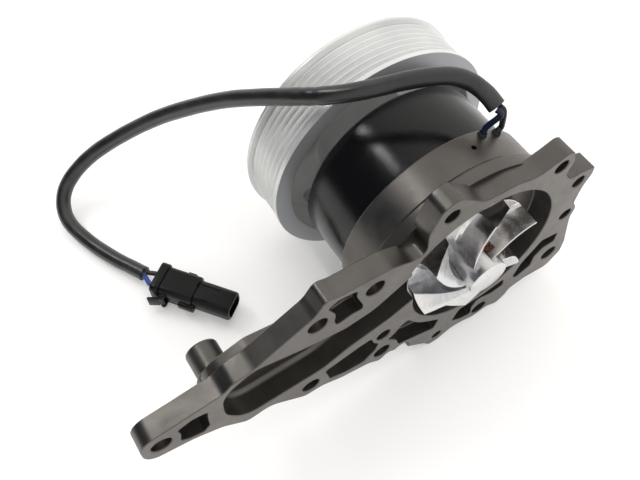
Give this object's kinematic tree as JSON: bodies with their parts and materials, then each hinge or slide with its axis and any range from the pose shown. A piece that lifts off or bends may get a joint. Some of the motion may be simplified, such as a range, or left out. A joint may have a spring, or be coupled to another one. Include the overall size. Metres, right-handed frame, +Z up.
{
  "type": "electric water pump with idler pulley",
  "caption": "Billet plate water pump with a can motor, open impeller, ribbed idler pulley and a jacketed lead ending in a sealed connector.",
  "frame": {"origin": "centre of the bottom of the whole object's bounding box", "axes": "+Y along the shaft, out of the pump mouth, away from the pulley; +X towards the long tail of the plate; +Z up, square to both"},
  "size_m": [0.24, 0.1968, 0.1487],
  "materials": {
    "anodised_grey": "bead-blasted, grey hard anodised",
    "gloss_black_paint": "gloss black paint on steel tube",
    "cap_black": "black oxide",
    "plated_steel": "zinc plated",
    "ferrite": "sintered ferrite, dull",
    "phenolic": "brown laminate",
    "brass": "satin",
    "carbon": "pressed carbon",
    "spring_steel": "drawn",
    "bearing_steel": "ground",
    "black_rubber": "moulded",
    "wire_blue": "extruded insulation",
    "wire_black": "extruded insulation",
    "cable_jacket": "semi-gloss jacket",
    "black_nylon": "moulded nylon",
    "tin": "tinned",
    "shaft_steel": "ground",
    "machined_aluminium": "bright machined",
    "core_steel": "laminated stack",
    "copper": "enamelled copper",
    "seal_ceramic": "polished ceramic",
    "clear_anodised_aluminium": "turned, clear anodised"
  },
  "bodies": {
    "pump_body": {"pump_housing": "anodised_grey", "motor_can": "gloss_black_paint", "motor_front_cap": "cap_black", "tie_bolt_a": "plated_steel", "tie_bolt_b": "plated_steel", "field_magnet_1": "ferrite", "field_magnet_2": "ferrite", "field_magnet_3": "ferrite", "field_magnet_4": "ferrite", "brush_plate": "phenolic", "brush_holder_a": "brass", "brush_holder_b": "brass", "carbon_brush_a": "carbon", "carbon_brush_b": "carbon", "brush_spring_a": "spring_steel", "brush_spring_b": "spring_steel", "rear_bearing_outer_race": "bearing_steel", "front_bearing_outer_race": "bearing_steel", "shaft_seal_body": "carbon", "idler_bearing_inner_race": "bearing_steel", "idler_washer": "plated_steel", "idler_bolt": "plated_steel", "lead_grommet_a": "black_rubber", "lead_grommet_b": "black_rubber", "motor_lead_a": "wire_blue", "motor_lead_b": "wire_black", "lead_sheath": "cable_jacket", "connector_body": "black_nylon", "connector_wire_seal": "black_rubber", "connector_terminal_a": "tin", "connector_terminal_b": "tin", "connector_wire_a": "wire_black", "connector_wire_b": "wire_blue"},
    "rotor": {"rotor_shaft": "shaft_steel", "impeller": "machined_aluminium", "impeller_set_screw_a": "plated_steel", "impeller_set_screw_b": "plated_steel", "armature_core": "core_steel", "armature_winding": "copper", "commutator": "copper", "rear_bearing_inner_race": "bearing_steel", "front_bearing_inner_race": "bearing_steel", "shaft_seal_seat": "seal_ceramic"},
    "pulley": {"idler_pulley": "clear_anodised_aluminium", "idler_bearing_outer_race": "bearing_steel", "bearing_snap_ring": "spring_steel", "hub_dust_cap": "cap_black"},
    "rear_bearing_cage": {"rear_bearing_ball_cage": "brass"},
    "front_bearing_cage": {"front_bearing_ball_cage": "brass"},
    "idler_bearing_cage": {"idler_bearing_ball_cage": "brass"},
    "lock_flap": {"connector_lock_flap": "black_nylon"}
  },
  "joints": [
    {"name": "rotor_spin", "type": "hinge", "parent": "pump_body", "child": "rotor", "pos_m": [-0.0515, 0.04764, 0.0713], "axis": [0, 1, 0], "continuous": true},
    {"name": "rear_cage_spin", "type": "hinge", "parent": "pump_body", "child": "rear_bearing_cage", "pos_m": [-0.0515, 0.06544, 0.0713], "axis": [0, 1, 0], "continuous": true},
    {"name": "front_cage_spin", "type": "hinge", "parent": "pump_body", "child": "front_bearing_cage", "pos_m": [-0.0515, 0.01904, 0.0713], "axis": [0, 1, 0], "continuous": true},
    {"name": "pulley_spin", "type": "hinge", "parent": "pump_body", "child": "pulley", "pos_m": [-0.0515, -0.00256, 0.0713], "axis": [0, 1, 0], "continuous": true},
    {"name": "idler_cage_spin", "type": "hinge", "parent": "pump_body", "child": "idler_bearing_cage", "pos_m": [-0.0515, -0.00256, 0.0713], "axis": [0, 1, 0], "continuous": true},
    {"name": "lock_flap_hinge", "type": "hinge", "parent": "pump_body", "child": "lock_flap", "pos_m": [0.07736, -0.00534, 0.0155], "axis": [0, 0, 1], "range_deg": [-10, 80]}
  ],
  "couplings": [
    {"joint": "rear_cage_spin", "follows": "rotor_spin", "ratio": 0.405},
    {"joint": "front_cage_spin", "follows": "rotor_spin", "ratio": 0.405},
    {"joint": "idler_cage_spin", "follows": "pulley_spin", "ratio": 0.602}
  ]
}
